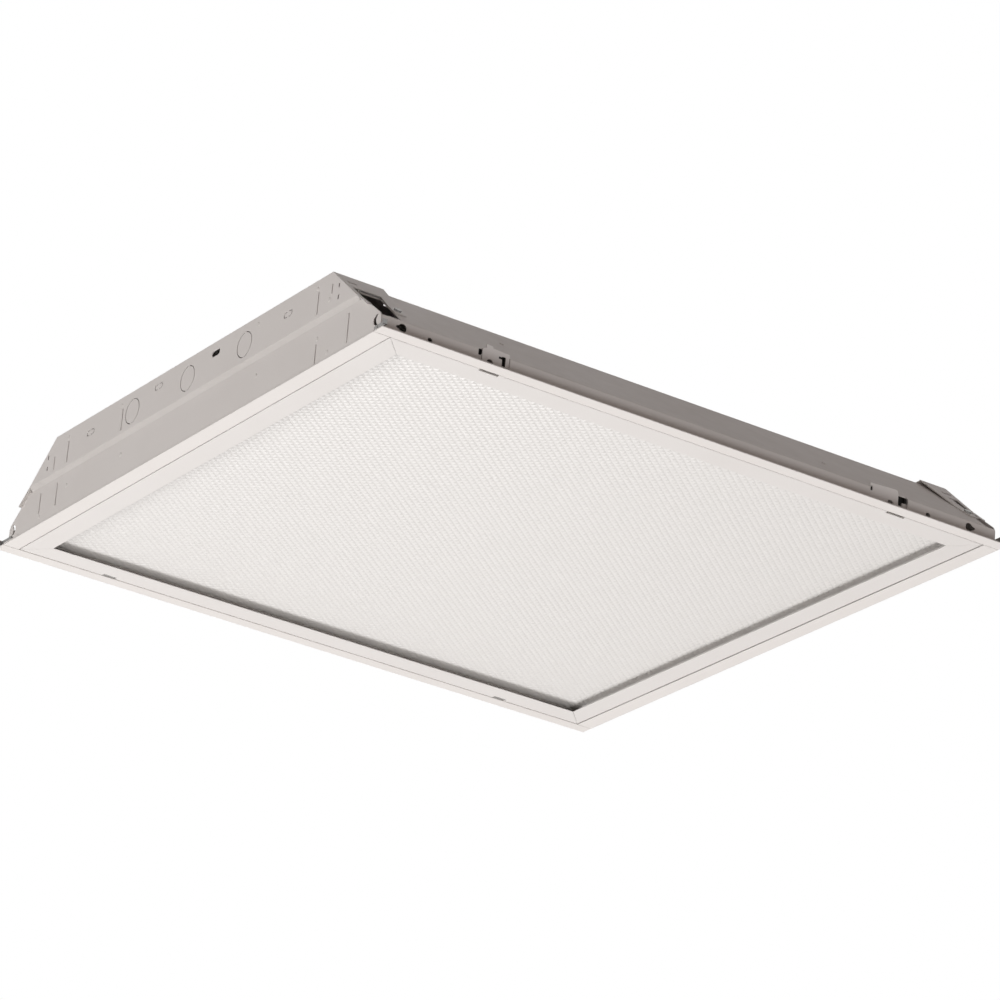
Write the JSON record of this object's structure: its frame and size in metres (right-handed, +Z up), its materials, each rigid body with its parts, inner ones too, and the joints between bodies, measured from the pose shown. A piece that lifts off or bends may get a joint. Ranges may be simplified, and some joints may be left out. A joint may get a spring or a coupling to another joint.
{
  "type": "recessed troffer light",
  "caption": "Recessed ceiling troffer for a lay-in grid: sloped steel housing, flanged end plates and a hinged flat door with a prismatic lens.",
  "frame": {"origin": "centre of the square outline on the ceiling plane, at the rim's underside", "axes": "+Z up into the ceiling, +X along the latch side, +Y from the latch side to the hinge side"},
  "size_m": [0.6032, 0.6032, 0.0762],
  "materials": {
    "housing_paint": "satin white enamel",
    "end_paint": "satin white enamel",
    "door_paint": "satin white enamel",
    "lens_acrylic": "translucent, fine prisms",
    "latch_steel": "satin white enamel",
    "plated_steel": "zinc plated",
    "guide_plastic": "moulded",
    "board_white": "white solder mask",
    "led_yellow": "phosphor",
    "driver_case": "plain",
    "connector_plastic": "moulded",
    "wire_jacket": "PVC"
  },
  "bodies": {
    "housing": {"housing_pan": "housing_paint", "end_plate_near": "end_paint", "end_plate_far": "end_paint", "end_plate_screws": "plated_steel", "hinge_rivets": "plated_steel", "clip_rivets": "plated_steel", "board_connectors": "connector_plastic", "jumper_wires": "wire_jacket", "led_driver": "driver_case", "driver_cover": "housing_paint", "access_plate": "housing_paint", "board_screws": "plated_steel", "cover_screws": "plated_steel", "driver_screws": "plated_steel", "ground_screw": "plated_steel", "access_screws": "plated_steel", "latch_guide_left": "guide_plastic", "latch_guide_right": "guide_plastic", "hinge_leaf_left": "plated_steel", "hinge_leaf_right": "plated_steel", "hinge_pin_left": "plated_steel", "hinge_pin_right": "plated_steel", "led_board_1": "board_white", "led_board_2": "board_white", "led_board_3": "board_white", "led_board_4": "board_white", "led_packages_1": "led_yellow", "led_packages_2": "led_yellow", "led_packages_3": "led_yellow", "led_packages_4": "led_yellow"},
    "door": {"door_rail_latch_side": "door_paint", "door_rail_hinge_side": "door_paint", "door_rail_left": "door_paint", "door_rail_right": "door_paint", "corner_keys": "plated_steel", "lens": "lens_acrylic", "lens_clips": "plated_steel"},
    "latch_left": {"latch_left": "latch_steel"},
    "latch_right": {"latch_right": "latch_steel"},
    "tbar_clip_1": {"tbar_clip_1": "plated_steel"},
    "tbar_clip_2": {"tbar_clip_2": "plated_steel"},
    "tbar_clip_3": {"tbar_clip_3": "plated_steel"},
    "tbar_clip_4": {"tbar_clip_4": "plated_steel"}
  },
  "joints": [
    {"name": "door_hinge", "type": "hinge", "parent": "housing", "child": "door", "pos_m": [0, 0.28602, 0.0022], "axis": [1, 0, 0], "range_deg": [0, 90]},
    {"name": "latch_left_slide", "type": "slide", "parent": "housing", "child": "latch_left", "axis": [-1, 0, 0], "range_m": [0, 0.004]},
    {"name": "latch_right_slide", "type": "slide", "parent": "housing", "child": "latch_right", "axis": [1, 0, 0], "range_m": [0, 0.009]},
    {"name": "tbar_clip_1_swing", "type": "hinge", "parent": "housing", "child": "tbar_clip_1", "pos_m": [-0.29733, -0.2855, 0.0056], "axis": [-1, 0, 0], "range_deg": [0, 90]},
    {"name": "tbar_clip_2_swing", "type": "hinge", "parent": "housing", "child": "tbar_clip_2", "pos_m": [0.29733, -0.2855, 0.0056], "axis": [-1, 0, 0], "range_deg": [0, 90]},
    {"name": "tbar_clip_3_swing", "type": "hinge", "parent": "housing", "child": "tbar_clip_3", "pos_m": [0.29733, 0.2855, 0.0056], "axis": [1, 0, 0], "range_deg": [0, 90]},
    {"name": "tbar_clip_4_swing", "type": "hinge", "parent": "housing", "child": "tbar_clip_4", "pos_m": [-0.29733, 0.2855, 0.0056], "axis": [1, 0, 0], "range_deg": [0, 90]}
  ]
}
